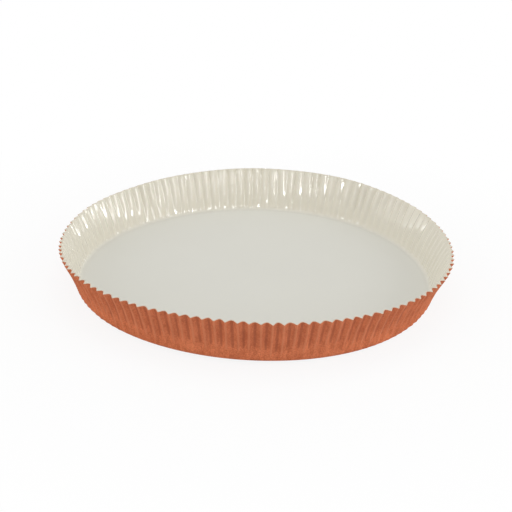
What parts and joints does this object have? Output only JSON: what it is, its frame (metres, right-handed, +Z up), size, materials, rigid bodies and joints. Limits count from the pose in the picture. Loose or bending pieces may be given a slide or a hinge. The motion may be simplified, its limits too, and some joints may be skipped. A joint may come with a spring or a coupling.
{
  "type": "paper tart mould",
  "caption": "Round shallow baking mould pressed from one sheet of kraft paper, with a flat floor, a fluted flared wall and a coated inside.",
  "frame": {"origin": "middle of the underside of the floor", "axes": "+Z up, from the floor towards the fluted edge; the edge stands highest at front and back, along Y"},
  "size_m": [0.242, 0.242, 0.0308],
  "materials": {
    "pressed_paper": "matte terracotta kraft outside, satin ivory coating inside"
  },
  "bodies": {
    "root": {"tart_mould": "pressed_paper"}
  },
  "joints": []
}
